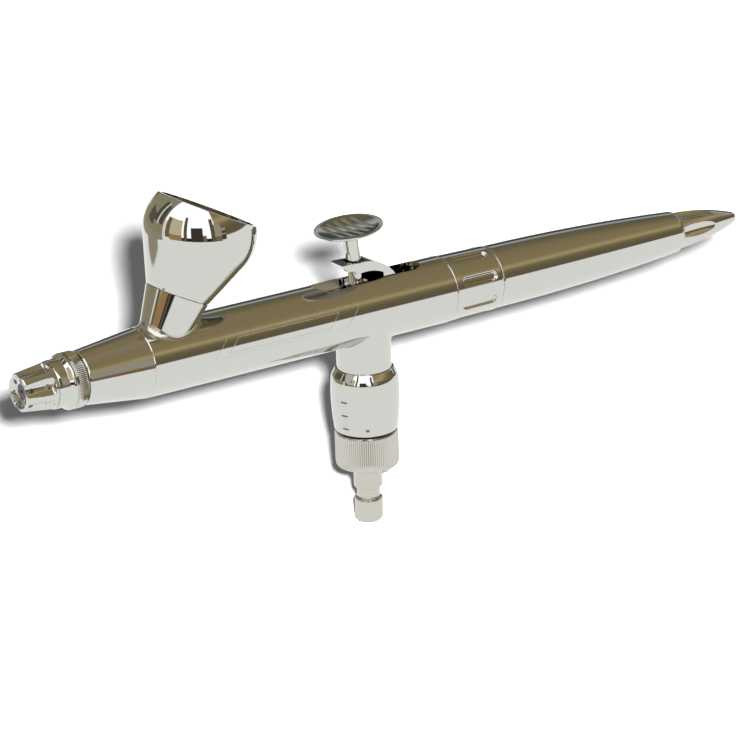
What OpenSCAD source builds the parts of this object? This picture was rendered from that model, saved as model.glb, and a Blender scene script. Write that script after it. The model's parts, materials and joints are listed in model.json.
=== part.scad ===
// Gravity-feed dual-action airbrush gun.
// Frame: +X runs back along the barrel to the tail, +Z is up, and the origin is
// where the barrel's axis crosses the air valve's axis.

/* [Barrel] */
// Outer radius of the barrel
barrel_r = 6; // [5.9:0.05:6.1]
// Front face of the body
nose_x = -56.2; // [-56.4:0.1:-56]
// Radius of the body's front face
nose_r = 4.6; // [4.5:0.05:4.8]
// Where the front cone meets the straight barrel
cone_x = -44.8; // [-45.4:0.1:-44.4]
// Rear face of the body
rear_x = 16.3; // [16:0.1:17]
// Front and rear ends of the trigger slot
slot_x = [-10.2, 11.8];
// Width of the trigger slot
slot_w = 4.5; // [4.3:0.1:4.6]

/* [Front end] */
// Front rim of the crown
crown_x = -67.2; // [-67.6:0.1:-67]
// Radius of the crown's front rim
crown_r = 3.25; // [3.2:0.05:3.4]
// Seam between the crown and the air head
crown_seam_x = -61.7; // [-61.8:0.1:-61.6]
// Number of scoops around the crown
crown_scoops = 6; // [4:8]
// Radius of the air head's bead and grip ring
head_r = 4.8; // [4.7:0.05:4.9]

/* [Colour cup] */
// Where the cup's axis meets the barrel's axis
cup_foot_x = -41.9; // [-42.1:0.1:-41.7]
// Lean of the cup's axis towards the tail
cup_tilt = 26.6; // [26:0.1:28]
// Distance of the rim along the cup's axis
cup_rim = 26.7; // [26.5:0.1:27]
// Distance of the seam between neck and bowl
cup_seam = 11.7; // [11.5:0.1:11.9]
// Radius of neck and bowl at that seam
seam_r = 5.5; // [5.4:0.05:5.6]
// Radius of the bowl at its widest
bowl_r = 9.65; // [9.5:0.05:9.8]
// Wall of the bowl
bowl_wall = 0.7; // [0.6:0.05:0.8]

/* [Trigger] */
// Height of the trigger's ball foot
ball_z = -3.5; // [-3.5:0.05:-3.4]
// Forward lean of the trigger at rest
lean = 7; // [6:0.5:7]
// Height of the finger pad above the ball
pad_h = 18.7; // [18.4:0.1:19]
// Radius of the finger pad
pad_r = 6.05; // [5.9:0.05:6.2]
// Pivot of the rocking lever, along the barrel
pivot_x = 5.06; // [5.04:0.01:5.08]
// Pivot of the rocking lever, height
pivot_z = -3.3; // [-3.3:0.05:-3.25]

/* [Handle] */
// Seam between grip sleeve and handle
sleeve_x = 26.5; // [26.4:0.1:27]
// Rear end of the handle
handle_x = 69.5; // [69:0.1:70]
// Radius of the handle at its front and rear ends
handle_r = [5.68, 3.85];
// Tip of the tail
tail_x = 84.3; // [84:0.1:84.6]
// Radius of the tail knob at the handle, and at its blunt tip
tail_r = [3.4, 0.87];
// Number of pill-shaped recesses around the grip sleeve
grip_recesses = 8; // [6:8]
// Number of scallops around the tail knob
tail_scallops = 6; // [5:7]

/* [Air valve] */
// Radius of the boss below the barrel
boss_r = 4.85; // [4.8:0.05:4.9]
// Lower end of the boss
boss_z = -10.7; // [-10.8:0.1:-10.6]
// Lower end of the valve housing
housing_z = -22.1; // [-22.2:0.05:-22.1]
// Largest radius of the valve housing
housing_r = 6.1; // [6:0.05:6.2]
// Radius of the pressure regulator ring
ring_r = 5.65; // [5.6:0.05:5.7]
// Lower end of the regulator ring
ring_end_z = -28.8; // [-29:0.1:-28.8]
// Lower end of the hose plug
plug_z = -39.5; // [-39.8:0.1:-39.4]
// Radius of the hose plug
plug_r = 2.5; // [2.4:0.05:2.55]
// Radius of the plug's air bore
plug_bore_r = 1.35; // [1.3:0.05:1.4]

/* [Hidden] */
$fn = 96;

gap = 0.05;          // running clearance between pieces that move
seat = 0.02;         // clearance of threads and pressed joints
over = 1;            // how far a cutter runs past the face it opens
needle_r = 0.65;     // needle's shank
needle_tip_x = -65.6;
chamber_r = 4.4;     // trigger chamber inside the barrel
chamber_x = -3.6;    // front wall of the trigger chamber
air_z = -3.6;        // air passage under the paint passage
stub_r = 4.2;        // threaded stub of the boss inside the valve housing
stub_z = -12.8;      // lower end of that stub
well_r = 2;          // guide for the top of the valve plunger
tube_r = 3;          // upper tube of the hose plug
lip_r = 4.35;        // plug's flange that holds the regulator ring up

// A solid of revolution about the barrel's axis, from points [radius, x].
module spun_x(points) {
    rotate([0, 90, 0]) rotate_extrude() polygon(points);
}

// A solid of revolution about the valve's axis, from points [radius, z].
module spun_z(points) {
    rotate_extrude() polygon(points);
}

// A plain cylinder along the barrel, from x0 to x1.
module rod_x(x0, x1, r) {
    translate([x0, 0, 0]) rotate([0, 90, 0]) cylinder(h = x1 - x0, r = r);
}

// A plain cylinder along the valve's axis, from z0 up to z1.
module rod_z(z0, z1, r) {
    translate([0, 0, z0]) cylinder(h = z1 - z0, r = r);
}

// A round ring about the barrel's axis.
module round_ring_x(x, major, minor) {
    translate([x, 0, 0]) rotate([0, 90, 0])
        rotate_extrude() translate([major, 0]) circle(r = minor, $fn = 24);
}

// A round ring about the valve's axis.
module round_ring_z(z, major, minor) {
    translate([0, 0, z]) rotate_extrude() translate([major, 0]) circle(r = minor, $fn = 24);
}

// A bar with round ends that points out from the barrel's axis at an angle.
module pill_x(x0, x1, w, r_in, r_out, angle) {
    rotate([angle, 0, 0]) {
        for (x = [x0 + w / 2, x1 - w / 2])
            translate([x, 0, r_in]) cylinder(h = r_out - r_in, d = w);
        translate([x0 + w / 2, -w / 2, r_in]) cube([x1 - x0 - w, w, r_out - r_in]);
    }
}

// A leaf-shaped groove: a ring of round section that dips into the surface.
module leaf_groove(x, r_floor, major, minor, angle) {
    rotate([angle, 0, 0]) translate([x, 0, r_floor + major + minor])
        rotate([90, 0, 0]) rotate_extrude() translate([major, 0]) circle(r = minor, $fn = 32);
}

// The frame of the colour cup: local +Z runs up its axis.
module on_cup() {
    translate([cup_foot_x, 0, 0]) rotate([0, cup_tilt, 0]) children();
}

// The frame of the trigger at rest: local +Z runs up its stem from the ball.
module on_trigger() {
    translate([0, 0, ball_z]) rotate([0, -lean, 0]) children();
}

// Points on a helix of round wire, one ring of a sweep at a time.
function coil_ring(turns, mean_r, length, wire_r, step, steps, sides) =
    let (a = 360 * turns * step / steps,
         pitch_a = atan(length / turns / (2 * PI * mean_r)),
         centre = [mean_r * cos(a), mean_r * sin(a), length * step / steps],
         out = [cos(a), sin(a), 0],
         up = [sin(a) * sin(pitch_a), -cos(a) * sin(pitch_a), cos(pitch_a)])
    [for (k = [0 : sides - 1])
        centre + wire_r * (cos(360 * k / sides) * out + sin(360 * k / sides) * up)];

// A coil spring standing on z = 0.
module coil(turns, mean_r, length, wire_r) {
    sides = 8;
    steps = ceil(turns * 14);
    points = [for (s = [0 : steps])
        each coil_ring(turns, mean_r, length, wire_r, s, steps, sides)];
    walls = [for (s = [0 : steps - 1], k = [0 : sides - 1])
        let (a = s * sides + k, b = s * sides + (k + 1) % sides)
        each [[a, a + sides, b + sides], [a, b + sides, b]]];
    first = [for (k = [1 : sides - 2]) [0, k, k + 1]];
    last = [for (k = [1 : sides - 2])
        [steps * sides, steps * sides + k + 1, steps * sides + k]];
    polyhedron(points = points, faces = concat(walls, first, last));
}

// ---- Front end -------------------------------------------------------------

// Crown around the needle's tip: a funnel with scoops and vent holes.
module crown_cap() {
    color("silver") difference() {
        spun_x([
            [crown_r - 0.25, crown_x], [crown_r, crown_x + 0.2],
            [3.95, crown_seam_x], [3.12, crown_seam_x], [3.12, -63.6],
            [1.15, -64.4], [1.15, -64.9], [crown_r - 0.6, crown_x]
        ]);
        for (i = [0 : crown_scoops - 1]) {
            a = 13 + i * 360 / crown_scoops;
            leaf_groove(-65, 3.2, 6.2, 0.8, a);
            rotate([a, 0, 0]) translate([-65.6, 0, 1.2]) cylinder(h = 3, r = 0.45);
        }
    }
}

// Air head: spigot for the crown, bead, grip ring and the air orifice.
module air_head() {
    color("silver") spun_x([
        [0.9, -64.5], [1.5, -63.5], [3.1, -63.4], [3.1, crown_seam_x],
        [4.05, crown_seam_x], [4.05, -59.6], [4.55, -59.45], [head_r, -59],
        [head_r, -58.2], [4.65, -58], [4.75, -57.8], [4.75, -56.5],
        [4.2, -56.4], [4.2, nose_x], [3.7, nose_x], [3.7, -55.5], [3.1, -55.5], [3.1, -54.9],
        [3.7, -54.9], [3.7, -53], [2.4, -53], [2.4, -61], [0.5, -63.8], [0.5, -64.5]
    ]);
}

// Rubber ring in the air head's groove.
module head_seal() {
    color("dimgray") round_ring_x(-55.2, 3.4, 0.27);
}

// Fluid nozzle, which the needle closes.
module nozzle() {
    color("gainsboro") spun_x([
        [0.22, -65], [0.4, -65], [0.42, -63.7], [1.3, -61.4], [2, -61.2], [2, -60.4],
        [1.5, -60.2], [1.5, -50.6], [0.95, -50.6], [0.95, -60.6], [0.22, -63.8]
    ]);
}

// Seal between the nozzle and the paint passage.
module nozzle_seal() {
    color("white") difference() {
        rod_x(-50.6, -50, 1.5);
        rod_x(-50.6 - over, -50 + over, 0.95);
    }
}

// ---- Body ------------------------------------------------------------------

// Outside of the tapered neck, grown by a clearance.
module neck_form(extra) {
    rotate_extrude() polygon([
        [0, 3 - extra], [2.4 + extra, 3 - extra], [2.4 + extra, 4.4 - extra],
        [4.1 + extra, 4.4 - extra], [seam_r + extra, cup_seam + extra], [0, cup_seam + extra]
    ]);
}

// Slot for the trigger: straight sides, round ends.
module slot_cut(x0, x1, z0) {
    for (x = [x0, x1])
        translate([x, 0, z0]) cylinder(h = barrel_r + over - z0, d = slot_w);
    translate([x0, -slot_w / 2, z0]) cube([x1 - x0, slot_w, barrel_r + over - z0]);
}

// Main body: front cone, barrel, valve boss and all the passages.
module body() {
    slot_end = slot_w / 2;
    color("silver") difference() {
        union() {
            spun_x([
                [0, nose_x], [nose_r - 0.3, nose_x], [nose_r, nose_x + 0.5],
                [barrel_r, cone_x], [barrel_r, rear_x], [0, rear_x]
            ]);
            rod_z(boss_z, 0, boss_r);
            rod_z(stub_z, 0, stub_r);
        }
        // Fine groove where the cone meets the barrel.
        round_ring_x(cone_x, barrel_r + 0.05, 0.15);
        // Front socket for the air head, nozzle seat and paint passage.
        rod_x(nose_x - over, -52.3, 3.7 + seat);
        rod_x(-52.5, -50, 1.5 + seat);
        rod_x(-50.2, -33.4, 1.1);
        // Pocket of the needle packing and its screw, reached from the rear.
        rod_x(-33.5, chamber_x + over, 2.1 + seat);
        // Trigger chamber.
        rod_x(chamber_x, rear_x + over, chamber_r);
        // Socket of the cup's neck and the paint passage under it.
        on_cup() {
            neck_form(seat / 2);
            cylinder(h = 5, r = 1.1);
        }
        // Trigger slot: a shallow trough in front, open to the chamber behind.
        slot_cut(slot_x[0] + slot_end, 0, 4.1);
        slot_cut(chamber_x + slot_end + 0.3, slot_x[1] - slot_end, 0);
        // Hole for the lever's pin, drilled from the far side.
        translate([pivot_x, 0, pivot_z]) rotate([-90, 0, 0])
            translate([0, 0, -3.4]) cylinder(h = barrel_r + 3.4 + over, r = 0.4 + seat);
        // Well of the valve plunger, web, seal pocket and valve gallery.
        rod_z(-8.2, 0, well_r);
        rod_z(-9, -8, 0.95);
        rod_z(stub_z - over, -8.6, 1.7);
        rod_z(stub_z - over, -9.6, 2.4);
        // Air passage: up beside the well, then forward to the air head.
        translate([-1.6, 0, -10.8]) rotate([0, -27.8, 0]) cylinder(h = 8.2, r = 0.5);
        translate([-52.6, 0, air_z]) rotate([0, 90, 0]) cylinder(h = 47.4, r = 0.6);
    }
}

// Tapered neck brazed into the body, with the socket for the cup.
module cup_neck() {
    color("silver") on_cup() difference() {
        neck_form(0);
        translate([0, 0, 2]) cylinder(h = 6, r = 1.1);
        translate([0, 0, 7]) cylinder(h = cup_seam - 7 + over, r = 3.6);
    }
}

// ---- Colour cup ------------------------------------------------------------

// Profile of the bowl's upper part, inset by a wall: an arc that narrows to the rim.
function bowl_arc(inset, d_from, d_to, steps) = [for (i = [0 : steps])
    let (d = d_from + (d_to - d_from) * i / steps,
         widest = 22.9,
         bend = d > widest ? 9 : 8.3)
    [bowl_r - inset - (bend - sqrt(bend * bend - (d - widest) * (d - widest))), d]];

// Bowl with the spigot that plugs into the neck.
module colour_cup() {
    color("silver") on_cup() difference() {
        rotate_extrude() polygon(concat(
            [[1.1, 7.2], [3.55, 7.2], [3.55, cup_seam], [seam_r, cup_seam]],
            bowl_arc(0, 19.3, cup_rim - 0.1, 8),
            [[bowl_arc(0, cup_rim, cup_rim, 1)[0][0] - 0.1, cup_rim]],
            [[bowl_arc(bowl_wall, cup_rim, cup_rim, 1)[0][0] + 0.1, cup_rim]],
            bowl_arc(bowl_wall, cup_rim - 0.1, 19.3, 8),
            [[2.9, 11.4], [1.1, 9.4]]
        ));
        ring_at_spigot();
    }
}

// Groove around the cup's spigot.
module ring_at_spigot() {
    translate([0, 0, 9]) rotate_extrude() translate([3.6, 0]) circle(r = 0.45, $fn = 24);
}

// Rubber ring in that groove.
module cup_seal() {
    color("dimgray") on_cup() translate([0, 0, 9])
        rotate_extrude() translate([3.37, 0]) circle(r = 0.21, $fn = 24);
}

// ---- Needle and its packing -------------------------------------------------

// Needle: long taper at the tip, round tail.
module needle() {
    color("lightsteelblue") spun_x([
        [0, needle_tip_x], [0.04, needle_tip_x], [needle_r, -57.5],
        [needle_r, 51.6], [0.35, 52], [0, 52]
    ]);
}

// Packing ring that the needle slides through.
module needle_packing() {
    color("white") difference() {
        rod_x(-33.5, -31.5, 2.1);
        rod_x(-33.5 - over, -31.5 + over, needle_r + 0.01);
    }
}

// Hollow screw with a driver slot that presses on the packing.
module packing_screw() {
    color("goldenrod") difference() {
        rod_x(-31.5, -27.5, 2.1);
        rod_x(-31.5 - over, -27.5 + over, 0.85);
        translate([-28.3, -3, -0.4]) cube([2, 6, 0.8]);
    }
}

// ---- Trigger and rocking lever -----------------------------------------------

// Dished finger pad, stem, slotted block for the needle, and ball foot.
module finger_trigger() {
    block_low = 1.8;     // lower end of the slotted block above the ball
    block_high = 9;      // upper end of the slotted block
    color("silver") on_trigger() difference() {
        union() {
            sphere(r = 1.4, $fn = 48);
            cylinder(h = block_low + 0.5, r = 1.1);
            translate([-1.3, -2, block_low]) cube([2.6, 4, block_high - block_low]);
            translate([0, 0, block_high - 0.5]) cylinder(h = pad_h - block_high, r = 1.5);
            rotate_extrude() polygon([
                [0, pad_h - 1.2], [1.5, pad_h - 1.2], [pad_r - 0.9, pad_h - 0.55],
                [pad_r - 0.15, pad_h - 0.15], [pad_r, pad_h + 0.05], [pad_r - 0.15, pad_h + 0.25],
                [pad_r - 0.6, pad_h + 0.25], [0, pad_h + 0.25]
            ]);
        }
        // Slot that the needle passes through.
        translate([-2, -0.85, 2.3]) cube([4, 1.7, 4.3]);
        // Shallow dish in the pad.
        translate([0, 0, pad_h + 24.85]) sphere(r = 25.2, $fn = 128);
    }
}

// Side view of the rocking lever's crescent arm and leg.
module lever_outline() {
    union() {
        // Crescent over the slot: a thick arc from the beak to the slot's rear.
        intersection() {
            difference() {
                translate([-0.6, 1.2]) circle(r = 8.1);
                translate([-0.1, -0.7]) circle(r = 8);
            }
            translate([-2.8, 4]) square([9.1, 7]);
        }
        // Beak in front of the stem.
        polygon([[-5.7, 9.5], [-4.4, 8.1], [-1.9, 7.9], [-2, 9.3], [-4, 9.35]]);
        // Leg down to the pivot, with the nose that pushes the chuck.
        polygon([
            [3.2, 7.7], [3.7, 3], [4.4, 0], [pivot_x - 0.52, pivot_z],
            [pivot_x + 0.52, pivot_z], [pivot_x + 0.8, 1.7], [5.35, 3.3],
            [6.3, 4.1], [6.35, 4.9]
        ]);
        translate([pivot_x, pivot_z]) circle(r = 0.55, $fn = 48);
        translate([pivot_x, 2]) circle(r = 0.9, $fn = 48);
    }
}

// Rocking lever: hooks round the trigger's stem and pushes the chuck back.
module rocking_lever() {
    color("silver") difference() {
        translate([0, 2, 0]) rotate([90, 0, 0]) linear_extrude(height = 4) lever_outline();
        // Long hole around the trigger's stem.
        on_trigger() {
            for (x = [-0.25, 0.55]) translate([x, 0, 8]) cylinder(h = 8, r = 1.58, $fn = 48);
            translate([-0.25, -1.58, 8]) cube([0.8, 3.16, 8]);
        }
        // Fork that straddles the needle.
        translate([2, -0.95, -1.5]) cube([5, 1.9, 3.3]);
        // Pivot hole.
        translate([pivot_x, 3, pivot_z]) rotate([90, 0, 0]) cylinder(h = 6, r = 0.4 + gap, $fn = 32);
    }
}

// Dowel that the lever rocks on.
module lever_pin() {
    color("gray") translate([pivot_x, -3.4, pivot_z]) rotate([-90, 0, 0])
        cylinder(h = 3.4 + 4.9, r = 0.4, $fn = 32);
}

// ---- Needle chuck and spring --------------------------------------------------

// Chuck tube: flange that the lever pushes, long tube and split collet.
module chuck_tube() {
    color("gainsboro") difference() {
        spun_x([
            [needle_r + seat, 6], [2.6, 6], [2.6, 7.5], [1.85, 7.6],
            [1.85, 35.5], [1.6, 35.6], [1.6, 38.6], [1.1, 39.6], [needle_r + seat, 39.6]
        ]);
        translate([35, -3, -0.25]) cube([6, 6, 0.5]);
    }
}

// Nut that closes the collet on the needle.
module chuck_nut() {
    color("silver") spun_x([
        [1.63, 35.7], [3.1, 35.7], [3.25, 35.95], [3.25, 40.2], [2.6, 41.6],
        [needle_r + seat, 41.6], [needle_r + seat, 39.75], [1.12, 39.7], [1.63, 38.65]
    ]);
}

// Spring that pushes the needle forward.
module needle_spring() {
    color("lightslategray") translate([7.85, 0, 0]) rotate([0, 90, 0])
        coil(13, 2.25, 23.4, 0.2);
}

// Housing that the needle spring sits in, screwed into the body.
module spring_housing() {
    color("goldenrod") difference() {
        rod_x(12.4, 33, chamber_r - seat);
        rod_x(12.4 - over, 31.5, 2.85);
        rod_x(31, 33 + over, 1.85 + gap);
    }
}

// ---- Handle -------------------------------------------------------------------

// Grip sleeve with pill-shaped recesses.
module grip_sleeve() {
    color("silver") difference() {
        spun_x([
            [chamber_r, rear_x], [5.75, rear_x], [5.92, rear_x + 0.15],
            [5.76, sleeve_x - 0.15], [5.6, sleeve_x], [5, sleeve_x],
            [5, 30.4], [chamber_r, 30.4]
        ]);
        for (i = [0 : grip_recesses - 1])
            pill_x(17.7, 25.3, 2, 5.45, 7, 112.5 + i * 360 / grip_recesses);
    }
}

// Radius of the handle at a place along it.
function handle_at(x) =
    handle_r[0] - (handle_r[0] - handle_r[1]) * pow((x - sleeve_x) / (handle_x - sleeve_x), 2.05);

// Tapered handle.
module handle_shell() {
    steps = 10;
    length = handle_x - 0.5 - sleeve_x - 0.15;
    color("silver") difference() {
        spun_x(concat(
            [[0, sleeve_x], [handle_r[0] - 0.15, sleeve_x]],
            [for (i = [0 : steps])
                let (x = sleeve_x + 0.15 + length * i / steps) [handle_at(x), x]],
            [[handle_r[1] - 0.3, handle_x], [0, handle_x]]
        ));
        rod_x(sleeve_x - over, 30.5, 5 + seat);
        rod_x(30, 34, chamber_r + seat);
        rod_x(33.5, 46.5, 3.9);
        rod_x(46, handle_x + over, 3 + seat);
    }
}

// Hollow limiter screw: its front end stops the chuck, the needle's tail runs inside it.
module limiter_screw() {
    color("gainsboro") spun_x([
        [1, 43.5], [2.1, 43.5], [2.3, 43.7], [2.3, 60], [2.9, 60.3],
        [2.9, 63], [2.5, 63], [2.5, 64], [2.9, 64], [2.9, handle_x - 1], [1, handle_x - 1]
    ]);
}

// Friction ring that keeps the limiter where it is set.
module limiter_seal() {
    color("dimgray") round_ring_x(63.5, 2.7, 0.19);
}

// Tail knob with leaf-shaped scallops, pressed on the limiter screw.
module tail_knob() {
    steps = 8;
    length = tail_x - handle_x;
    color("silver") difference() {
        spun_x(concat(
            [[0, handle_x - 1], [2.9, handle_x - 1], [2.9, handle_x + 0.05],
             [tail_r[0] - 0.2, handle_x + 0.05]],
            [for (i = [0 : steps])
                let (t = 0.015 + 0.965 * i / steps)
                [tail_r[0] - (tail_r[0] - tail_r[1]) * t * t, handle_x + length * t]],
            [[0.55, tail_x], [0, tail_x]]
        ));
        for (i = [0 : tail_scallops - 1])
            leaf_groove(handle_x + 5.6, 2.5, 26, 1.7, 80 + i * 360 / tail_scallops);
    }
}

// ---- Air valve -----------------------------------------------------------------

// Seal around the plunger's stem, above the valve gallery.
module stem_seal() {
    color("white") difference() {
        rod_z(-9.4, -8.6, 1.7);
        rod_z(-9.4 - over, -8.6 + over, 0.81);
    }
}

// Screwed-in seat that the plunger closes.
module valve_seat() {
    color("goldenrod") difference() {
        rod_z(stub_z, -11, 2.4 - seat);
        rod_z(stub_z - over, -11 + over, 1.15);
    }
}

// Plunger: dished cap under the trigger's ball, stem and valve disc.
module valve_plunger() {
    color("gainsboro") difference() {
        spun_z([
            [0, -16.2], [0.8, -16.2], [0.8, -14.6], [1.9, -14.6], [1.9, -13.3], [0.8, -13.3],
            [0.8, -6], [well_r - gap, -6], [well_r - gap, -4.75], [0, -4.75]
        ]);
        translate([0, 0, ball_z]) sphere(r = 1.4 + gap, $fn = 48);
        round_ring_z(stub_z - 0.27, 1.18, 0.28);
    }
}

// Rubber ring on the valve disc.
module plunger_seal() {
    color("dimgray") round_ring_z(stub_z - 0.27, 1.18, 0.25);
}

// Spring that closes the valve.
module valve_spring() {
    color("lightslategray") translate([0, 0, -18.15]) coil(4, 1.3, 3.35, 0.17);
}

// Hollow screw that carries the valve spring.
module valve_screw() {
    color("goldenrod") difference() {
        rod_z(-19.55, -18.35, 3.2);
        rod_z(-19.55 - over, -18.35 + over, 1);
        translate([-4, -0.4, -20]) cube([8, 0.8, 0.9]);
    }
}

// Barrel-shaped valve housing, screwed on the boss's stub.
module valve_housing() {
    belly_z = -15.2;
    belly = 28;          // radius of the belly's long arc
    steps = 6;
    color("silver") difference() {
        spun_z(concat(
            [[5.2, boss_z], [5.75, boss_z - 1.1]],
            [for (i = [0 : steps])
                let (z = boss_z - 1.6 + (housing_z + 0.2 - boss_z + 1.6) * i / steps,
                     b = z > belly_z ? 30 : 48)
                [housing_r - (b - sqrt(b * b - (z - belly_z) * (z - belly_z))), z]],
            [[5.4, housing_z], [0, housing_z], [0, boss_z]]
        ));
        rod_z(stub_z - 0.4, boss_z + over, stub_r + seat);
        rod_z(housing_z - over, stub_z, 3.2 + seat);
    }
}

// ---- Pressure regulator and hose plug --------------------------------------------

// Knurled ring that sets the air pressure.
module regulator_ring() {
    color("silver") difference() {
        spun_z([
            [0, ring_end_z], [ring_r - 0.4, ring_end_z], [ring_r, ring_end_z + 0.4],
            [ring_r, housing_z - 0.6], [ring_r - 0.3, housing_z - 0.25], [0, housing_z - 0.25]
        ]);
        rod_z(ring_end_z - over, -24, lip_r + gap);
        rod_z(-24.5, housing_z, tube_r + gap + 0.1);
    }
}

// Throttle sleeve pressed in the ring; its off-centre groove meters the air.
module throttle_sleeve() {
    color("goldenrod") difference() {
        rod_z(-28, -24, lip_r + gap - seat);
        rod_z(-28 - over, -24 + over, tube_r + gap);
        translate([0.45, 0, -27.1]) cylinder(h = 2.1, r = tube_r + gap);
    }
}

// Two rubber rings on the plug's tube, above and below the throttle groove.
module throttle_seals() {
    color("dimgray") for (z = [-27.7, -24.4]) round_ring_z(z, 2.85, 0.17);
}

// Hose plug: thread, tube with ports, flange, neck, groove and head.
module quick_plug() {
    color("silver") difference() {
        spun_z([
            [0, -19.9], [tube_r + 0.2, -19.9], [tube_r + 0.2, housing_z], [tube_r, housing_z],
            [tube_r, -28.1], [lip_r, -28.1], [lip_r, ring_end_z + 0.1], [plug_r + 0.05, ring_end_z + 0.1],
            [plug_r + 0.05, -33], [plug_r - 0.15, -33.2], [2.05, -33.25], [2.05, -35],
            [plug_r, -35.3], [plug_r, plug_z + 0.5], [plug_r - 0.4, plug_z], [0, plug_z]
        ]);
        rod_z(plug_z - over, -26.4, plug_bore_r);
        rod_z(-25.8, -19.9 + over, 1);
        for (a = [0, 90]) rotate([0, 0, a]) {
            translate([-4, 0, -26.8]) rotate([0, 90, 0]) cylinder(h = 8, r = 0.4);
            translate([-4, 0, -25.3]) rotate([0, 90, 0]) cylinder(h = 8, r = 0.4);
        }
        for (z = [-27.7, -24.4]) round_ring_z(z, 3, 0.36);
    }
}

// Rubber ring between the plug's thread and the valve housing.
module plug_seal() {
    color("dimgray") round_ring_z(-19.725, 2.4, 0.16);
}

crown_cap();
air_head();
head_seal();
nozzle();
nozzle_seal();
body();
cup_neck();
colour_cup();
cup_seal();
needle();
needle_packing();
packing_screw();
finger_trigger();
rocking_lever();
lever_pin();
chuck_tube();
chuck_nut();
needle_spring();
spring_housing();
grip_sleeve();
handle_shell();
limiter_screw();
limiter_seal();
tail_knob();
stem_seal();
valve_seat();
valve_housing();
valve_plunger();
plunger_seal();
valve_spring();
valve_screw();
regulator_ring();
throttle_sleeve();
throttle_seals();
quick_plug();
plug_seal();
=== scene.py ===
import json
import math

import bpy
import bmesh
import numpy as np
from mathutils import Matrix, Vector


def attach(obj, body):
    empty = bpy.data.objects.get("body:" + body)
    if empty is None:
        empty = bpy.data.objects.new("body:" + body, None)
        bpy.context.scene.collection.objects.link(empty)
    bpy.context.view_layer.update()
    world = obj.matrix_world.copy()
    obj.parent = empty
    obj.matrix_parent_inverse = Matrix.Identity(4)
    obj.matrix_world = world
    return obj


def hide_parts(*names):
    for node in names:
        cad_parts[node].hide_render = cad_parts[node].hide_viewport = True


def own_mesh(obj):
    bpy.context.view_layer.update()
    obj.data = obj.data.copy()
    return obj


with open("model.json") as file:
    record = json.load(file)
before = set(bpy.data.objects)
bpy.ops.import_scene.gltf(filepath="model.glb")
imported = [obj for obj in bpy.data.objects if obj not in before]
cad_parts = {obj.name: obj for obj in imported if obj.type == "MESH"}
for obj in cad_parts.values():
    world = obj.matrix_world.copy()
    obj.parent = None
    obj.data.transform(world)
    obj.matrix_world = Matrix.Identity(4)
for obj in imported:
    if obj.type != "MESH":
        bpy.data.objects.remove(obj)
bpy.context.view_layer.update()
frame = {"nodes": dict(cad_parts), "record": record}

MM = 0.001
TAU = 2 * math.pi

# ---- Dimensions shared with the CAD, in millimetres --------------------------
BARREL_R, NOSE_R, NOSE_EDGE = 6.0, 4.61, 0.22
NOSE_X, CONE_X, REAR_X = -56.2, -44.8, 16.3
CONE_END_R = BARREL_R - 0.02
CHAMBER_X, CHAMBER_R = -3.6, 4.4
SLOT_X0, SLOT_X1, SLOT_HALF, TROUGH_Z = -10.2, 11.8, 2.25, 4.1
CROWN_X, CROWN_SCOOPS, CROWN_PHASE = -67.2, 6, 13
CUP_FOOT, CUP_TILT = -41.9, math.radians(26.6)
CUP_SEAM, SEAM_R, CUP_RIM, BOWL_R = 11.7, 5.5, 26.7, 9.65
NECK_R, NECK_BASE = 4.1, 4.4
BALL_Z, LEAN, PAD_H, PAD_R = -3.5, math.radians(7), 18.7, 6.05
PIVOT_X, PIVOT_Z = 5.06, -3.3
SLEEVE_X, HANDLE_X, TAIL_X = 26.5, 69.5, 84.3
BOSS_R, BOSS_Z, HOUSING_Z = 4.85, -10.7, -22.1
RING_R, RING_END_Z, PLUG_Z = 5.65, -28.8, -39.5

# ---- Axes that pieces are turned on: origin, two directions across, direction along
BARREL = ((0, 0, 0), (0, 0, 1), (0, -1, 0), (1, 0, 0))
VALVE = ((0, 0, 0), (1, 0, 0), (0, 1, 0), (0, 0, 1))
CUP = ((CUP_FOOT, 0, 0), (math.cos(CUP_TILT), 0, -math.sin(CUP_TILT)), (0, 1, 0),
       (math.sin(CUP_TILT), 0, math.cos(CUP_TILT)))
TRIGGER = ((0, 0, BALL_Z), (math.cos(LEAN), 0, math.sin(LEAN)), (0, 1, 0),
           (-math.sin(LEAN), 0, math.cos(LEAN)))


# ---- Mesh helpers ------------------------------------------------------------
def new_object(name, verts, faces):
    """A mesh object from points in millimetres."""
    mesh = bpy.data.meshes.new(name)
    mesh.from_pydata((np.asarray(verts, float) * MM).tolist(), [], faces)
    mesh.update()
    obj = bpy.data.objects.new(name, mesh)
    bpy.context.scene.collection.objects.link(obj)
    return obj


def tidy(obj):
    """Joins points that coincide, such as the poles of a turned shape, and turns faces outwards."""
    bm = bmesh.new()
    bm.from_mesh(obj.data)
    bmesh.ops.remove_doubles(bm, verts=bm.verts, dist=1e-6)
    bmesh.ops.recalc_face_normals(bm, faces=bm.faces)
    bm.to_mesh(obj.data)
    bm.free()
    return obj


def baked(obj):
    """Replaces the object's mesh by the one that its modifiers make."""
    graph = bpy.context.evaluated_depsgraph_get()
    mesh = bpy.data.meshes.new_from_object(obj.evaluated_get(graph))
    obj.modifiers.clear()
    obj.data = mesh
    return obj


def boolean(obj, other, operation):
    """Applies a boolean with another object and deletes that object."""
    mod = obj.modifiers.new("cut", "BOOLEAN")
    mod.operation = operation
    mod.solver = "EXACT"
    mod.object = other
    baked(obj)
    bpy.data.objects.remove(other)
    return obj


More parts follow.
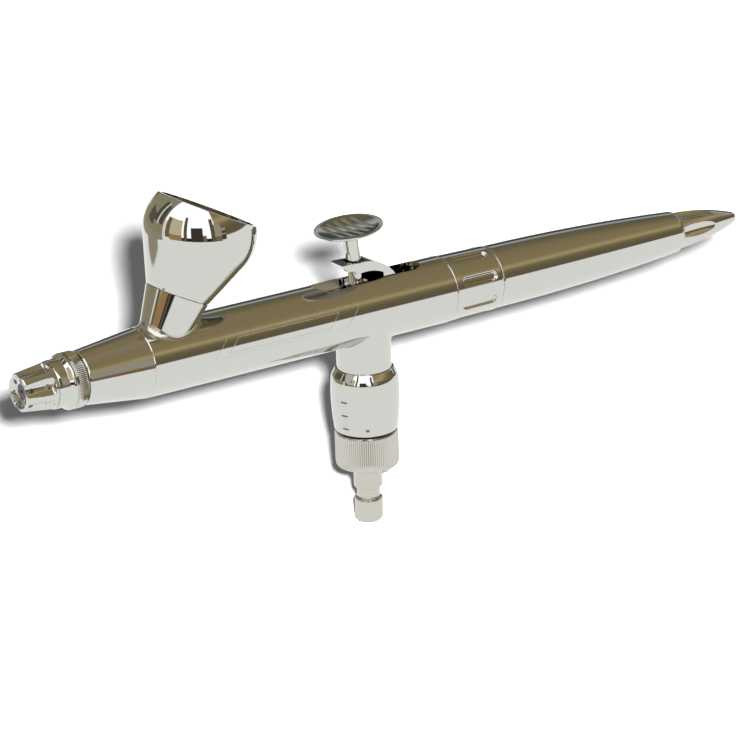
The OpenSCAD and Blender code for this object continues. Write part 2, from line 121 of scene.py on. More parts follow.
def smooth(obj, angle=32):
    """Smooth shading with sharp edges above an angle, and normals that large faces lead."""
    obj.data.shade_smooth()
    obj.data.set_sharp_from_angle(angle=math.radians(angle))
    mod = obj.modifiers.new("even", "WEIGHTED_NORMAL")
    mod.mode = "FACE_AREA"
    mod.keep_sharp = True
    return baked(obj)


def place(axis, r, t, phi):
    """Points at radius r, distance t along an axis and angle phi round it."""
    origin, across, side, along = (np.array(v, float) for v in axis)
    r, t, phi = np.broadcast_arrays(r, t, phi)
    return (origin + t[..., None] * along
            + (r * np.cos(phi))[..., None] * across + (r * np.sin(phi))[..., None] * side)


def grid_faces(rows, cols, wrap_rows, wrap_cols):
    """Four-sided faces of a grid of points, which may close on itself either way."""
    faces = []
    for i in range(rows if wrap_rows else rows - 1):
        a, b = i * cols, (i + 1) % rows * cols
        for j in range(cols if wrap_cols else cols - 1):
            k = (j + 1) % cols
            faces.append((a + j, a + k, b + k, b + j))
    return faces


def rounded(points, closed=True, step=15):
    """A profile of (r, t) or (r, t, fillet radius), with those corners turned into arcs."""
    out, n = [], len(points)
    for i, point in enumerate(points):
        radius = point[2] if len(point) > 2 else 0
        b = np.array(point[:2], float)
        if not radius or (not closed and i in (0, n - 1)):
            out.append(tuple(b))
            continue
        u = np.array(points[i - 1][:2], float) - b
        v = np.array(points[(i + 1) % n][:2], float) - b
        lu, lv = np.linalg.norm(u), np.linalg.norm(v)
        u, v = u / lu, v / lv
        corner = math.acos(max(-1, min(1, float(u @ v))))
        if corner > math.radians(178):
            out.append(tuple(b))
            continue
        cut = min(radius / math.tan(corner / 2), 0.49 * lu, 0.49 * lv)
        radius = cut * math.tan(corner / 2)
        centre = b + (u + v) / np.linalg.norm(u + v) * radius / math.sin(corner / 2)
        first, last = b + u * cut - centre, b + v * cut - centre
        turn = math.atan2(first[0] * last[1] - first[1] * last[0], float(first @ last))
        steps = max(2, math.ceil(abs(math.degrees(turn)) / step))
        for k in range(steps + 1):
            a = turn * k / steps
            out.append((centre[0] + first[0] * math.cos(a) - first[1] * math.sin(a),
                        centre[1] + first[0] * math.sin(a) + first[1] * math.cos(a)))
    return out


def lathe_raw(name, axis, profile, cols=128, shape=None):
    """A turned shape. Its profile is closed, or open where it starts and ends on the axis.
    shape(r, t, phi) may change the radius from place to place."""
    closed = profile[0][0] > 1e-6 or profile[-1][0] > 1e-6
    prof = np.array(profile, float)
    r, t = prof[:, :1], prof[:, 1:]
    phi = np.linspace(0, TAU, cols, endpoint=False)[None, :]
    r, t, phi = np.broadcast_arrays(r, t, phi)
    if shape:
        r = shape(r.copy(), t, phi)
    points = place(axis, r, t, phi).reshape(-1, 3)
    return tidy(new_object(name, points, grid_faces(len(prof), cols, closed, True)))


def lathe(name, axis, profile, cols=128, shape=None, angle=32):
    """A turned shape with smooth shading."""
    return smooth(lathe_raw(name, axis, profile, cols, shape), angle)


def line(p, q, count):
    """Points from p up to, but not including, q."""
    return [tuple(np.array(p) + (np.array(q) - np.array(p)) * i / count) for i in range(count)]


def solid_faces(n):
    """Faces of a solid between two outlines of n points: its two ends and its sides."""
    return ([tuple(range(n)), tuple(range(2 * n - 1, n - 1, -1))]
            + [(i, (i + 1) % n, n + (i + 1) % n, n + i) for i in range(n)])


def prism(name, outline, y0, y1):
    """A flat outline in X and Z, given depth along Y."""
    verts = [(x, y, z) for y in (y0, y1) for x, z in outline]
    return tidy(new_object(name, verts, solid_faces(len(outline))))


def stadium(x0, x1, half, cols):
    """A flat outline with straight sides and round ends centred on x0 and x1."""
    return [(x + half * math.cos(a), half * math.sin(a))
            for x, start in ((x1, -math.pi / 2), (x0, math.pi / 2))
            for a in np.linspace(start, start + math.pi, cols)]


def arc(cx, cz, r, a0, a1, count):
    """Points on an arc from angle a0 to a1, in degrees."""
    return [(cx + r * math.cos(math.radians(a0 + (a1 - a0) * i / count)),
             cz + r * math.sin(math.radians(a0 + (a1 - a0) * i / count))) for i in range(count + 1)]


def rod(name, axis, r, t0, t1, cols=64):
    """A plain cylinder along an axis, from t0 to t1."""
    return lathe_raw(name, axis, [(0, t0), (r, t0), (r, t1), (0, t1)], cols)


# ---- Materials -----------------------------------------------------------------
def metal(name, color, rough, spread, grain, grain_scale, stretch=(1, 1, 1), stain=0.03):
    """Plated or turned metal: roughness that wanders like wiped smudges, faint stains in the
    colour, and a fine grain in the bump."""
    mat = bpy.data.materials.new(name)
    mat.use_nodes = True
    nodes, links = mat.node_tree.nodes, mat.node_tree.links
    shader = nodes["Principled BSDF"]
    shader.inputs["Metallic"].default_value = 1.0
    coord = nodes.new("ShaderNodeTexCoord")
    smudge = nodes.new("ShaderNodeTexNoise")
    smudge.inputs["Scale"].default_value = 130.0
    smudge.inputs["Detail"].default_value = 5.0
    links.new(coord.outputs["Object"], smudge.inputs["Vector"])
    spread_node = nodes.new("ShaderNodeMapRange")
    spread_node.inputs["From Min"].default_value = 0.3
    spread_node.inputs["From Max"].default_value = 0.7
    spread_node.inputs["To Min"].default_value = rough
    spread_node.inputs["To Max"].default_value = rough + spread
    links.new(smudge.outputs["Fac"], spread_node.inputs["Value"])
    links.new(spread_node.outputs["Result"], shader.inputs["Roughness"])
    tint = nodes.new("ShaderNodeMix")
    tint.data_type = "RGBA"
    tint.inputs["A"].default_value = (*color, 1)
    tint.inputs["B"].default_value = (*(c * (1 - stain) for c in color), 1)
    links.new(smudge.outputs["Fac"], tint.inputs["Factor"])
    links.new(tint.outputs["Result"], shader.inputs["Base Color"])
    scale = nodes.new("ShaderNodeMapping")
    scale.inputs["Scale"].default_value = stretch
    links.new(coord.outputs["Object"], scale.inputs["Vector"])
    fine = nodes.new("ShaderNodeTexNoise")
    fine.inputs["Scale"].default_value = grain_scale
    fine.inputs["Detail"].default_value = 4.0
    links.new(scale.outputs["Vector"], fine.inputs["Vector"])
    bump = nodes.new("ShaderNodeBump")
    bump.inputs["Strength"].default_value = grain
    bump.inputs["Distance"].default_value = 0.00004
    links.new(fine.outputs["Fac"], bump.inputs["Height"])
    links.new(bump.outputs["Normal"], shader.inputs["Normal"])
    return mat


def soft(name, color, rough, speckle):
    """Rubber, sealing plastic or engraving paint, and also the near-black painted shade in the
    crown's vent holes: a matt surface with a fine speckle.
    """
    mat = bpy.data.materials.new(name)
    mat.use_nodes = True
    nodes, links = mat.node_tree.nodes, mat.node_tree.links
    shader = nodes["Principled BSDF"]
    shader.inputs["Roughness"].default_value = rough
    coord = nodes.new("ShaderNodeTexCoord")
    noise = nodes.new("ShaderNodeTexNoise")
    noise.inputs["Scale"].default_value = 2500.0
    links.new(coord.outputs["Object"], noise.inputs["Vector"])
    mix = nodes.new("ShaderNodeMix")
    mix.data_type = "RGBA"
    mix.inputs["A"].default_value = (*color, 1)
    mix.inputs["B"].default_value = (*(min(1, c * speckle + 0.01) for c in color), 1)
    links.new(noise.outputs["Fac"], mix.inputs["Factor"])
    links.new(mix.outputs["Result"], shader.inputs["Base Color"])
    bump = nodes.new("ShaderNodeBump")
    bump.inputs["Strength"].default_value = 0.2
    bump.inputs["Distance"].default_value = 0.00003
    links.new(noise.outputs["Fac"], bump.inputs["Height"])
    links.new(bump.outputs["Normal"], shader.inputs["Normal"])
    return mat


CHROME = metal("chrome", (0.63, 0.63, 0.615), 0.025, 0.03, 0.012, 420.0)
NICKEL = metal("satin_nickel", (0.61, 0.59, 0.55), 0.17, 0.08, 0.10, 5200.0, (1, 1, 0.25))
STEEL = metal("steel", (0.55, 0.55, 0.56), 0.14, 0.10, 0.2, 4200.0, (0.15, 1, 1))
SPRING = metal("spring_steel", (0.36, 0.36, 0.37), 0.25, 0.12, 0.2, 3800.0)
# Rough steel for the small disc at the bottom of the crown's dish. Its near-black blue-grey colour
# is painted shade.
SHADED_DISH_STEEL = metal("steel_with_painted_shade", (0.16, 0.16, 0.19), 0.42, 0.1, 0.2, 5200.0)
MILLED = metal("milled", (0.88, 0.83, 0.75), 0.38, 0.12, 0.25, 5200.0)
# Matt cast nickel for the trigger pad's underside. Its dark brown colour is painted shade standing
# in for the dark reflections under the pad.
CAST_UNDERSIDE_SHADE = metal("cast_nickel_painted_shade", (0.30, 0.27, 0.22), 0.4, 0.12, 0.2, 5200.0)
BRAZED = metal("brazed", (0.60, 0.58, 0.54), 0.17, 0.06, 0.06, 2200.0)
BRASS = metal("brass", (0.62, 0.43, 0.17), 0.16, 0.14, 0.25, 4800.0, (1, 1, 0.3), 0.12)
RUBBER = soft("rubber", (0.012, 0.012, 0.012), 0.55, 2.2)
SEAL = soft("white_seal", (0.80, 0.79, 0.75), 0.4, 0.93)
# Near-black ink for the printed pressure marks. The same near-black is painted on the crown's vent
# hole walls as painted shade.
INK_AND_HOLE_SHADE = soft("mark_ink_and_hole_shade", (0.014, 0.014, 0.017), 0.5, 1.5)
ETCH = metal("etched_line", (0.72, 0.72, 0.70), 0.45, 0.15, 0.3, 6000.0)
BY_SLOT = {"chrome": CHROME, "satin_nickel": NICKEL, "steel": STEEL, "spring_steel": SPRING,
           "brass": BRASS, "rubber": RUBBER, "white_seal": SEAL}

for part in frame["record"]["subparts"]:
    for place_for_material in frame["nodes"][part["node"]].material_slots:
        place_for_material.material = BY_SLOT[part["material_slot"]]


def finish_piece(obj, body, slot, material, *nodes):
    """Gives a new piece its finish and body, and hides the CAD nodes that it stands for."""
    obj.data.materials.clear()
    obj.data.materials.append(material)
    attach(obj, body)
    if nodes:
        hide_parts(*nodes)
    return obj


# ---- Front end -------------------------------------------------------------------
def angle_to_nearest(phi, count, first):
    """Angle from phi to the nearest of several places spaced evenly round."""
    step = TAU / count
    return (phi - first + step / 2) % step - step / 2


def crown_shape(r, t, phi):
    """Six milled scoops that run out at the front rim and end blunt at the back."""
    cutter, front, back, depth, blunt = 1.7, CROWN_X - 0.1, -62.1, 0.75, 0.45
    along = np.clip((t - front) / (back - front), 0, 1)
    wall = 3.25 + (t + 67) / 5.3 * 0.7
    floor = wall - depth * np.minimum(0.45 + along * 0.8, 1)
    end = np.clip((t - back + blunt) / blunt, 0, 1)
    floor = floor + depth * (1 - np.sqrt(1 - end ** 2 * 0.999))
    side = r * angle_to_nearest(phi, CROWN_SCOOPS, math.radians(CROWN_PHASE))
    near = np.abs(side) < cutter
    groove = floor + cutter - np.sqrt(np.maximum(cutter ** 2 - side ** 2, 0))
    cut = near & (t > front) & (t < back + 0.05) & (r > 2.85)
    return np.where(cut, np.minimum(r, groove), r)


def make_crown():
    """Crown cap: a shallow dish in front, scoops outside, and a vent from the dish to each."""
    outer = line((3.25, -67.0), (3.95, -61.75), 64)
    profile = rounded([(2.78, CROWN_X, 0.1), (3.1, CROWN_X, 0.1)] + outer
                      + [(3.95, -61.68), (3.9, -61.64), (3.12, -61.64), (3.12, -63.6),
                         (1.1, -64.4), (1.32, -66.6, 0.08), (2.45, -66.88, 0.5)])
    crown = lathe_raw("crown", BARREL, profile, 360, crown_shape)
    vent_x, vent_r, bore = -66.15, 2.05, 0.42
    outward = [Vector((0, -math.sin(a), math.cos(a)))
               for a in np.radians(CROWN_PHASE + 60 * np.arange(CROWN_SCOOPS)).tolist()]
    for way in outward:
        across = Vector((1, 0, 0)).cross(way)
        up = rod("hole", ((vent_x, 0, 0), (1, 0, 0), across, way), bore, 1.6, 4.2, 32)
        boolean(crown, up, "DIFFERENCE")
        forward = rod("vent", (way * vent_r, across, way, (1, 0, 0)), bore, CROWN_X - 0.3,
                      vent_x, 32)
        boolean(crown, forward, "DIFFERENCE")
    smooth(crown, 30)
    finish_piece(crown, "gun_body", "chrome", CHROME, "crown_cap")
    # Painted shade: the walls of the vent holes get the near-black ink colour so that the holes
    # read dark.
    crown.data.materials.append(INK_AND_HOLE_SHADE)
    for poly in crown.data.polygons:
        spot = poly.center / MM
        for way in outward:
            out = spot.dot(way)
            aside = (spot - way * out - Vector((spot.x, 0, 0))).length
            in_front = math.hypot(out - vent_r, aside) < bore and spot.x < vent_x + 0.5
            in_side = 1.5 < out < 2.8 and math.hypot(spot.x - vent_x, aside) < bore
            if in_front or in_side:
                poly.material_index = 1
    # Disc at the bottom of the dish, darkened with painted shade.
    face = lathe("crown_inner_face", BARREL, [(0.3, -66.52), (1.3, -66.5), (1.3, -66.3),
                                              (0.3, -66.3)], 64)
    finish_piece(face, "gun_body", "steel", SHADED_DISH_STEEL)


def make_head():
    teeth = 92

    def knurl(r, t, phi):
        on = (t > -58.2) & (t < -56.6) & (r > 4.65)
        return np.where(on, r - 0.075 * (1 - np.cos(teeth * phi)), r)

    profile = rounded([
        (0.5, -64.5), (0.9, -64.5), (1.5, -63.5), (3.1, -63.4), (3.1, -61.62), (4.02, -61.62, 0.04),
        (4.08, -61.5), (4.1, -59.7, 0.2), (4.72, -59.15, 0.45), (4.8, -58.75, 0.2),
        (4.6, -58.45, 0.08), (4.6, -58.35), (4.76, -58.25), (4.78, -58.1), (4.78, -57.4),
        (4.78, -56.75), (4.72, -56.62), (4.5, -56.58), (3.75, -56.55), (3.75, -56.1), (3.7, -56.1),
        (3.7, -53), (2.4, -53), (2.4, -61), (0.5, -63.8)])
    head = lathe("air_head_turned", BARREL, profile, teeth * 6, knurl, 40)
    finish_piece(head, "gun_body", "chrome", CHROME, "air_head")


# ---- Body ------------------------------------------------------------------------
def slot_cutter(name, x0, x1, z0):
    """A cutter for the trigger's slot, from height z0 up."""
    outline = stadium(x0, x1, SLOT_HALF, 32)
    verts = [(x, y, z) for z in (z0, 8) for x, y in outline]
    return tidy(new_object(name, verts, solid_faces(len(outline))))


def true_normals(obj, surfaces, limit=0.0025):
    """Sets exact normals where a corner lies on a known surface, so reflections run clean past
    cut edges. Each surface gives (distance, normal) for a point in millimetres."""
    mesh = obj.data
    normals = [Vector(c.vector) for c in mesh.corner_normals]
    points = [v.co / MM for v in mesh.vertices]
    for poly in mesh.polygons:
        face = poly.normal
        for k in poly.loop_indices:
            point = points[mesh.loops[k].vertex_index]
            for surface in surfaces:
                far, normal = surface(point)
                if far < limit and abs(normal.dot(face)) > 0.97:
                    normals[k] = normal if normal.dot(face) > 0 else -normal
                    break
    mesh.normals_split_custom_set(normals)


def on_round_x(radius, x0, x1):
    """A cylinder along X, for true_normals."""
    def surface(p):
        r = math.hypot(p.y, p.z)
        inside = x0 - 1e-3 <= p.x <= x1 + 1e-3
        return (abs(r - radius) if inside and r > 0 else 9.0), Vector((0, p.y, p.z)).normalized()
    return surface


def on_cone_x(xa, ra, xb, rb):
    """A cone along X, for true_normals."""
    slope = (rb - ra) / (xb - xa)

    def surface(p):
        r = math.hypot(p.y, p.z)
        inside = xa - 1e-3 <= p.x <= xb + 1e-3
        normal = Vector((-slope, p.y / max(r, 1e-9), p.z / max(r, 1e-9))).normalized()
        return (abs(r - ra - slope * (p.x - xa)) if inside else 9.0), normal
    return surface


def on_round_z(radius, z0, z1):
    """A cylinder along Z, for true_normals."""
    def surface(p):
        r = math.hypot(p.x, p.y)
        inside = z0 - 1e-3 <= p.z <= z1 + 1e-3
        return (abs(r - radius) if inside and r > 0 else 9.0), Vector((p.x, p.y, 0)).normalized()
    return surface


def make_body():
    """Front cone, barrel and valve boss, with the slot and the passages that show through it."""
    seam = 0.14
    front_end, rear_end = SLOT_X0 + SLOT_HALF, SLOT_X1 - SLOT_HALF
    profile = rounded([
        (0, NOSE_X), (NOSE_R - 0.15, NOSE_X, 0.06), (NOSE_R, NOSE_X + NOSE_EDGE, 0.12),
        (CONE_END_R, CONE_X - seam, 0.05), (BARREL_R - 0.13, CONE_X, 0.05),
        (BARREL_R, CONE_X + seam, 0.05), (BARREL_R, REAR_X - 0.12), (BARREL_R - 0.12, REAR_X),
        (0, REAR_X)], closed=False)
    body = lathe_raw("barrel", BARREL, profile, 192)
    boss = rod("boss", VALVE, BOSS_R, BOSS_Z, -1, 128)
    boolean(body, boss, "UNION")
    for cutter in (rod("chamber", BARREL, CHAMBER_R, CHAMBER_X, 18, 96),
                   rod("packing_bore", BARREL, 2.1, -30, -3, 48),
                   rod("well", VALVE, 2.0, -8.2, 0, 48),
                   slot_cutter("trough", front_end, 1, TROUGH_Z),
                   slot_cutter("slot", CHAMBER_X + SLOT_HALF + 0.3, rear_end, 0)):
        boolean(body, cutter, "DIFFERENCE")
    bevel = body.modifiers.new("edge", "BEVEL")
    bevel.width = 0.09 * MM
    bevel.segments = 3
    bevel.limit_method = "WEIGHT"
    weights = body.data.attributes.new("bevel_weight_edge", "FLOAT", "EDGE")
    rims = np.zeros(len(body.data.edges), np.float32)
    spots = np.array([v.co for v in body.data.vertices]) / MM
    for i, edge in enumerate(body.data.edges):
        a, b = spots[edge.vertices[0]], spots[edge.vertices[1]]
        on_rim = all(abs(math.hypot(p[1], p[2]) - BARREL_R) < 0.004 and p[2] > 5
                     and SLOT_X0 - 0.2 < p[0] < SLOT_X1 + 0.2 for p in (a, b))
        crosses = all(abs(abs(p[1]) - SLOT_HALF) < 0.002
                      or math.hypot(p[0] - front_end, p[1]) < SLOT_HALF + 0.002
                      or math.hypot(p[0] - rear_end, p[1]) < SLOT_HALF + 0.002 for p in (a, b))
        rims[i] = 1.0 if on_rim and crosses else 0.0
    weights.data.foreach_set("value", rims)
    baked(body)
    smooth(body, 30)
    true_normals(body, [
        on_round_x(BARREL_R, CONE_X + seam, REAR_X - 0.12),
        on_cone_x(NOSE_X + NOSE_EDGE, NOSE_R, CONE_X - seam, CONE_END_R),
        on_round_x(CHAMBER_R, CHAMBER_X, REAR_X), on_round_z(BOSS_R, BOSS_Z, -3)])
    finish_piece(body, "gun_body", "chrome", CHROME, "body")


def make_trough():
    """Satin lining of the shallow slot in front of the trigger."""
    gap, cols, back = 0.015, 28, -3.2
    half, front = SLOT_HALF - gap, SLOT_X0 + SLOT_HALF
    outline = ([(back, -half)] + [(front + half * math.cos(a), half * math.sin(a))
                                  for a in np.linspace(1.5 * math.pi, 0.5 * math.pi, cols)]
               + [(back, half)])
    n = len(outline)
    verts = [(x, y, TROUGH_Z + gap) for x, y in outline]
    verts += [(x, y, math.sqrt(BARREL_R ** 2 - y * y) - 0.1) for x, y in outline]
    faces = [tuple(range(n - 1, -1, -1))]
    faces += [(i, i + 1, n + i + 1, n + i) for i in range(n - 1)]
    lining = smooth(new_object("slot_lining", verts, faces), 30)
    finish_piece(lining, "gun_body", "satin_nickel", MILLED)


def make_spring(node):
    """A copy of a CAD spring, with a mesh of its own, that stands in for the CAD node."""
    spring = frame["nodes"][node].copy()
    spring.data = spring.data.copy()
    spring.name = node + "_wire"
    for key in list(spring.keys()):
        del spring[key]
    bpy.context.scene.collection.objects.link(spring)
    finish_piece(spring, "gun_body", "spring_steel", SPRING, node)
    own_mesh(spring)


def barrel_radius(x):
    """Radius of the body's outside at a place along it."""
    if x >= CONE_X:
        return BARREL_R
    return BARREL_R + (x - CONE_X) * (BARREL_R - NOSE_R) / (CONE_X - NOSE_X - NOSE_EDGE)


def onto_barrel(p):
    """The nearest point on the body's outside."""
    r = math.hypot(p[1], p[2])
    scale = barrel_radius(p[0]) / r
    return np.array([p[0], p[1] * scale, p[2] * scale])


def blend_strip(name, wall, out, size, cols=160, rows=10):
    """A closed ring of fillet between a wall that runs down into the barrel and the barrel.
    wall(phi) gives a point on the wall and the direction down it, out(phi) the way outwards,
    and size(phi) how far the fillet reaches up the wall and out over the barrel."""
    rings = np.zeros((rows + 1, cols, 3))
    for j in range(cols):
        phi = TAU * j / cols
        start, down = wall(phi)
        depth = 0.0
        while math.hypot(*(start + down * depth)[1:]) > barrel_radius((start + down * depth)[0]):
            depth += 0.01
        hit = start + down * depth
        normal = np.array([0, hit[1], hit[2]]) / math.hypot(hit[1], hit[2])
        outwards = out(phi) - normal * (out(phi) @ normal)
        outwards /= np.linalg.norm(outwards)
        reach = size(phi)
        upper, lower = hit - down * reach, onto_barrel(hit + outwards * reach)
        for i in range(rows + 1):
            s = i / rows
            rings[i, j] = (1 - s) ** 2 * upper + 2 * s * (1 - s) * hit + s ** 2 * lower
    strip = new_object(name, rings.reshape(-1, 3), grid_faces(rows + 1, cols, False, True))
    centre = rings.mean(axis=(0, 1))
    face = strip.data.polygons[0]
    away = np.array(face.center) / MM - centre
    if np.array(face.normal) @ away < 0:
        strip.data.flip_normals()
    return smooth(strip, 60)


def cup_direction(phi):
    """The way out from the cup's axis at angle phi."""
    return (place(CUP, 1.0, 0.0, phi) - place(CUP, 0.0, 0.0, 0.0)).reshape(3)


def neck_wall(phi):
    """A point high on the neck, and the direction down its tapered wall."""
    high = place(CUP, SEAM_R, CUP_SEAM, phi).reshape(3)
    low = place(CUP, NECK_R, NECK_BASE, phi).reshape(3)
    return high, (low - high) / np.linalg.norm(low - high)


def make_neck():
    profile = rounded([
        (1.1, 2.0), (NECK_R, NECK_BASE), (SEAM_R - 0.02, CUP_SEAM - 0.08),
        (SEAM_R - 0.1, CUP_SEAM - 0.02), (3.6, CUP_SEAM - 0.02, 0.1), (3.6, 7.0), (1.1, 7.0)])
    neck = lathe("cup_neck_turned", CUP, profile, 160)
    finish_piece(neck, "gun_body", "chrome", CHROME, "cup_neck")
    front = math.radians(205)  # where the fillet is widest
    strip = blend_strip("neck_fillet", neck_wall, cup_direction,
                        lambda phi: 0.45 + 0.75 * max(0, math.cos(phi - front)) ** 2)
    finish_piece(strip, "gun_body", "chrome", BRAZED)


def make_boss_fillet():
    def wall(phi):
        return (np.array([BOSS_R * math.cos(phi), BOSS_R * math.sin(phi), -9.0]),
                np.array([0.0, 0.0, 1.0]))

    strip = blend_strip("boss_fillet", wall,
                        lambda phi: np.array([math.cos(phi), math.sin(phi), 0.0]),
                        lambda phi: 0.6)
    finish_piece(strip, "gun_body", "chrome", CHROME)


# ---- Colour cup --------------------------------------------------------------------
def make_cup():
    widest, above, below = 22.9, 9.0, 8.3
    bowl_start, lip_edge, thick = 19.3, CUP_RIM - 0.09, 0.7

    def wall(inset, d):
        """Radius of the bowl's bent wall at a distance along its axis."""
        bend = above if d > widest else below
        return BOWL_R - inset - (bend - math.sqrt(bend ** 2 - (d - widest) ** 2))

    outer = [(wall(0, d), d) for d in np.linspace(bowl_start, lip_edge, 40)]
    inner = [(wall(thick, d), d) for d in np.linspace(lip_edge, bowl_start, 40)]
    lip_out, lip_in = wall(0, CUP_RIM), wall(thick, CUP_RIM)
    lip = rounded([outer[-1], (lip_out, CUP_RIM, 0.07), (lip_in, CUP_RIM, 0.07), inner[0]],
                  closed=False)[1:-1]
    profile = ([(1.1, 7.2), (3.4, 7.2), (3.55, 7.35), (3.55, 8.62), (3.2, 8.7), (3.2, 9.3),
                (3.55, 9.38), (3.55, CUP_SEAM + 0.02),
                (SEAM_R - 0.1, CUP_SEAM + 0.02), (SEAM_R, CUP_SEAM + 0.1)]
               + line((SEAM_R + 0.05, CUP_SEAM + 0.2), outer[0], 6) + outer + lip + inner
               + line((inner[-1][0] - 0.02, 19.26), (3.2, 11.7), 6)
               + rounded([(3.4, 12.1), (2.9, 11.4, 0.8), (1.1, 9.4)], closed=False)[1:])
    cup = lathe("paint_cup", CUP, profile, 192, angle=20)
    finish_piece(cup, "cup", "chrome", CHROME, "colour_cup")


# ---- Trigger and lever ----------------------------------------------------------------
def make_trigger():
    """Dished finger pad with plain ribs, its stem, the slotted block and the ball foot."""
    dish, dish_z = 25.2, PAD_H + 24.85
    rim_r, stem_r, stem_end = PAD_R - 0.5, 1.32, 8.7
    rib_pitch, rib_height, rib_field = 1.5, 0.16, 4.2

    def face(r):
        return dish_z - math.sqrt(dish ** 2 - r ** 2)

    edge = rounded([(rim_r - 0.2, face(rim_r - 0.2)), (rim_r + 0.1, PAD_H + 0.24, 0.2),
                    (PAD_R, PAD_H + 0.2, 0.14), (PAD_R - 0.02, PAD_H - 0.12, 0.2),
                    (PAD_R - 1.1, PAD_H - 0.55, 2.0), (stem_r, PAD_H - 1.2, 1.2),
                    (stem_r, stem_end)], closed=False)
    pad = [(0, face(0))] + [(r, face(r)) for r in np.linspace(0.09, rim_r - 0.3, 60)] + edge
    pad += [(0, stem_end)]
    obj = lathe_raw("finger_trigger_turned", TRIGGER, pad, 240)
    origin, across, side, along = (np.array(v, float) for v in TRIGGER)
    for v in obj.data.vertices:
        p = np.array(v.co) / MM - origin
        a, s, t = p @ across, p @ side, p @ along
        r = math.hypot(a, s)
        if t > PAD_H - 0.45 and r < rim_r - 0.1:
            fade = min(1, max(0, (rim_r - 0.25 - r) / 0.4))
            wave = max(0.0, math.cos(TAU * a / rib_pitch)) ** 2
            bounded = 1.0 if abs(a) < rib_field else 0.0
            reach = 4.6 * math.sqrt(max(0, 1 - (a / 4.9) ** 2))
            soft_end = min(1, max(0, (reach - abs(s)) / 0.35))
            lift = rib_height * wave * fade * bounded * soft_end
            v.co = Vector((p + along * lift + origin) * MM)
    smooth(obj, 40)
    block = prism("trigger_block", [(-1.3, 1.8), (1.3, 1.8), (1.3, 9.0), (-1.3, 9.0)], -2, 2)
    gate = prism("gate", [(-2, 2.3), (2, 2.3), (2, 6.6), (-2, 6.6)], -0.85, 0.85)
    boolean(block, gate, "DIFFERENCE")
    for v in block.data.vertices:
        a, s, t = v.co / MM
        v.co = Vector((origin + across * a + side * s + along * t) * MM)
    bevel = block.modifiers.new("edge", "BEVEL")
    bevel.width, bevel.segments, bevel.limit_method = 0.18 * MM, 4, "ANGLE"
    baked(block)
    smooth(block, 35)
    foot = lathe("trigger_foot", TRIGGER, [(0, -1.4)] + [
        (1.4 * math.sin(a), -1.4 * math.cos(a)) for a in np.linspace(0.1, 2.2, 20)]
        + [(1.1, 1.0), (1.1, 2.3), (0, 2.3)], 64)
    finish_piece(obj, "trigger", "chrome", CHROME, "finger_trigger")
    # The pad's underside gets rough cast nickel, with its colour darkened as painted shade.
    obj.data.materials.append(CAST_UNDERSIDE_SHADE)
    for poly in obj.data.polygons:
        p = np.array(poly.center) / MM - origin
        under = np.array(poly.normal) @ along < -0.1 and p @ along < PAD_H - 0.14
        if under and math.hypot(p @ across, p @ side) > stem_r + 0.02:
            poly.material_index = 1
    finish_piece(block, "trigger", "chrome", CHROME)
    finish_piece(foot, "trigger", "chrome", CHROME)


def make_lever():
    """Crescent lever with a beak, an eye for the trigger's stem and a forked leg."""
    crescent = (arc(-0.6, 1.2, 7.8, 22, 104, 40)
                + arc(-0.1, -0.7, 7.9, 106, 36.8, 36))
    outer = prism("rocking_lever_milled", crescent, -2, 2)
    for name, outline in (
            ("beak", [(-5.1, 9.1), (-4.1, 7.9), (-1.6, 7.55), (-1.6, 9.0), (-3.7, 9.1)]),
            ("leg", [(3.2, 7.6), (3.7, 3.0), (4.4, 0.0), (PIVOT_X - 0.52, PIVOT_Z),
                     (PIVOT_X + 0.52, PIVOT_Z), (PIVOT_X + 0.8, 1.7), (5.35, 3.3), (6.28, 4.1),
                     (6.3, 4.9)]),
            ("eye", arc(PIVOT_X, PIVOT_Z, 0.55, 0, 345, 23)),
            ("nose", arc(PIVOT_X, 2.0, 0.9, 0, 345, 23))):
        boolean(outer, prism(name, outline, -2, 2), "UNION")
    origin, across, side, along = (np.array(v, float) for v in TRIGGER)
    ring = stadium(-0.25, 0.55, 1.58, 24)
    verts = [origin + across * a + side * s + along * t for t in (8, 16) for a, s in ring]
    boolean(outer, tidy(new_object("eyelet", verts, solid_faces(len(ring)))), "DIFFERENCE")
    fork = prism("fork", [(2, -1.5), (7, -1.5), (7, 1.8), (2, 1.8)], -0.95, 0.95)
    boolean(outer, fork, "DIFFERENCE")
    clean = outer.modifiers.new("flat", "DECIMATE")
    clean.decimate_type, clean.angle_limit = "DISSOLVE", math.radians(0.5)
    bevel = outer.modifiers.new("edge", "BEVEL")
    bevel.width, bevel.segments, bevel.limit_method = 0.14 * MM, 3, "ANGLE"
    bevel.angle_limit = math.radians(32)
    baked(outer)
    smooth(outer, 35)
    finish_piece(outer, "lever", "chrome", CHROME, "rocking_lever")


# ---- Handle ------------------------------------------------------------------------
def make_sleeve():
    """Grip sleeve with eight pill-shaped recesses."""
    x0, x1, width, depth = 17.7, 25.3, 2.0, 0.5
    base = BARREL_R - 0.08

    def recesses(r, t, phi):
        side = base * angle_to_nearest(phi, 8, math.radians(22.5))
        end = np.maximum(np.abs(t - (x0 + x1) / 2) - (x1 - x0 - width) / 2, 0)
        edge = np.hypot(side, end) - width / 2
        fall = np.clip(-edge / 0.42, 0, 1)
        fall = fall * fall * (3 - 2 * fall)
        return np.where((r > 5.5) & (edge < 0), r - depth * fall, r)

    profile = ([(4.5, REAR_X + 0.02), (5.72, REAR_X + 0.02), (5.85, REAR_X + 0.06),
                (base, REAR_X + 0.16)]
               + line((base, REAR_X + 0.3), (5.78, SLEEVE_X - 0.3), 90)
               + [(5.77, SLEEVE_X - 0.16), (5.7, SLEEVE_X - 0.06), (5.6, SLEEVE_X - 0.02),
                  (4.5, SLEEVE_X - 0.02)])
    sleeve = lathe("sleeve", BARREL, profile, 400, recesses, 40)
    finish_piece(sleeve, "gun_body", "chrome", CHROME, "grip_sleeve")


